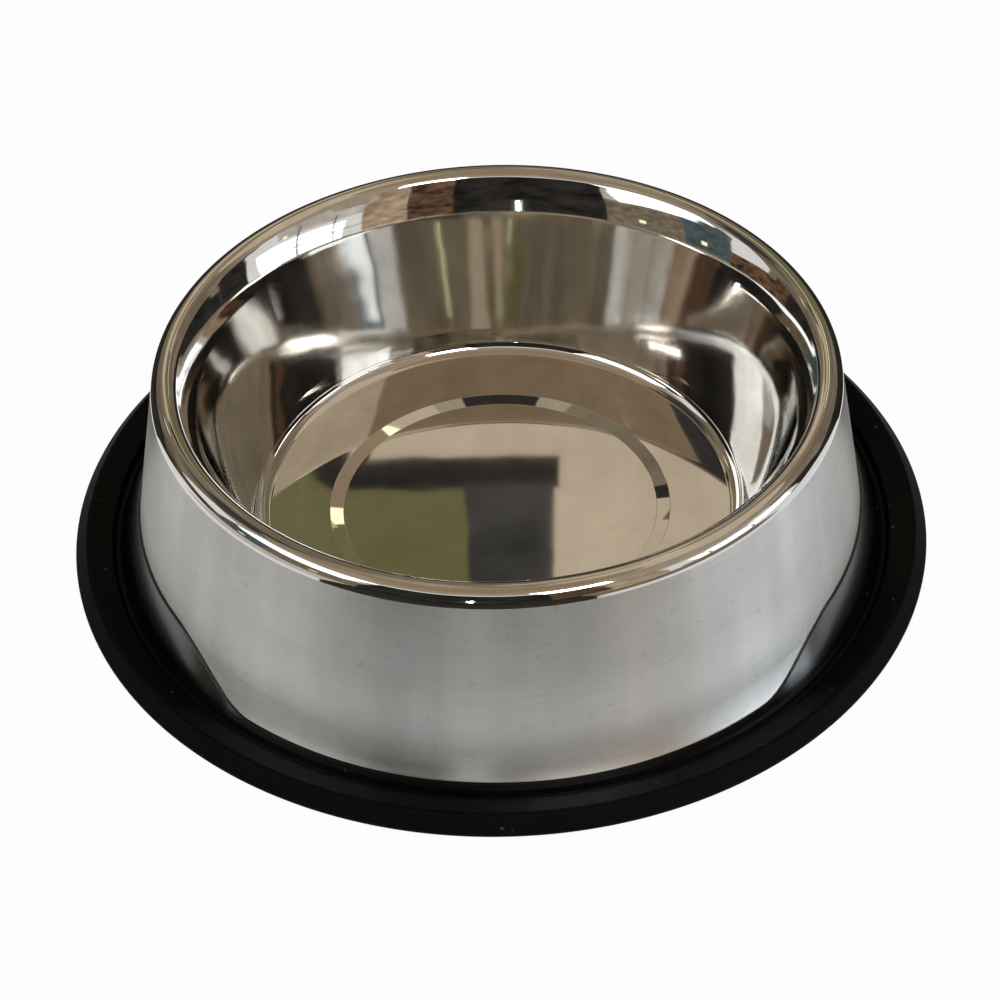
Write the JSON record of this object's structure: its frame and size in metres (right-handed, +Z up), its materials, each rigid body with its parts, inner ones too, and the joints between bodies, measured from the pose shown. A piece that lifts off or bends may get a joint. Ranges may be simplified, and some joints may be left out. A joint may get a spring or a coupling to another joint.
{
  "type": "pet food bowl",
  "caption": "Round non-tip pet food bowl: a drawn stainless sheet bowl with a rolled rim and a flared outer skirt, standing in a black rubber non-slip ring.",
  "frame": {"origin": "on the bowl's axis, at the flat underside of the rubber ring", "axes": "+Z up along the bowl's axis; -Y is the front, where the ring's collar stays low; +X to the right"},
  "size_m": [0.25, 0.25, 0.0608],
  "materials": {
    "steel": "mirror polish inside and over the rim, satin on the skirt",
    "rubber": "moulded, semi-matt"
  },
  "bodies": {
    "root": {"steel_bowl": "steel", "rubber_ring": "rubber"}
  },
  "joints": []
}
